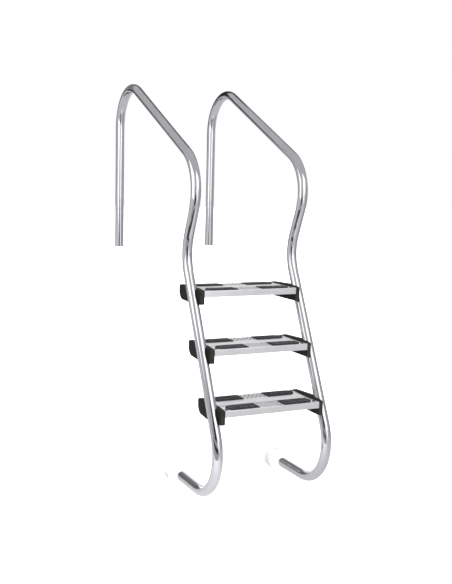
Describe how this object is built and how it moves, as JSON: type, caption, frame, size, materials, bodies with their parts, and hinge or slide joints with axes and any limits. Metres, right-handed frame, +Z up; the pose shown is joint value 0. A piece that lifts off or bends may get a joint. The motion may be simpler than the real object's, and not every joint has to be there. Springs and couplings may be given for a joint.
{
  "type": "pool ladder",
  "caption": "Pool ladder with two bent polished tube rails, wide folded treads carrying non-slip pads on moulded end brackets, and round wall bumpers.",
  "frame": {"origin": "midway between the lower ends of the two deck legs, on the line through both tube centres", "axes": "+Z up along the legs, -Y out over the pool, +X to the right when the ladder is seen from the pool"},
  "size_m": [0.592, 1.2672, 1.7647],
  "materials": {
    "rail_tube": "mirror-polished stainless steel tube",
    "tread_sheet": "satin stainless steel sheet with an embossed middle",
    "non_slip_pad": "charcoal, covered in fine round bumps",
    "bracket_plastic": "black moulded plastic with a fine texture",
    "fastener_steel": "plain stainless steel",
    "bumper_rubber": "white, slightly translucent, smooth"
  },
  "bodies": {
    "root": {"left_rail": "rail_tube", "right_rail": "rail_tube", "top_tread": "tread_sheet", "middle_tread": "tread_sheet", "bottom_tread": "tread_sheet", "top_pad_front_left": "non_slip_pad", "top_pad_front_right": "non_slip_pad", "top_pad_rear_left": "non_slip_pad", "top_pad_rear_right": "non_slip_pad", "middle_pad_front_left": "non_slip_pad", "middle_pad_front_right": "non_slip_pad", "middle_pad_rear_left": "non_slip_pad", "middle_pad_rear_right": "non_slip_pad", "bottom_pad_front_left": "non_slip_pad", "bottom_pad_front_right": "non_slip_pad", "bottom_pad_rear_left": "non_slip_pad", "bottom_pad_rear_right": "non_slip_pad", "top_bracket_left": "bracket_plastic", "top_bracket_right": "bracket_plastic", "middle_bracket_left": "bracket_plastic", "middle_bracket_right": "bracket_plastic", "bottom_bracket_left": "bracket_plastic", "bottom_bracket_right": "bracket_plastic", "tread_screws": "fastener_steel", "tread_nuts": "fastener_steel", "rail_bolts": "fastener_steel", "rail_washers": "fastener_steel", "rivet_nuts": "fastener_steel", "left_bumper": "bumper_rubber", "right_bumper": "bumper_rubber"}
  },
  "joints": []
}
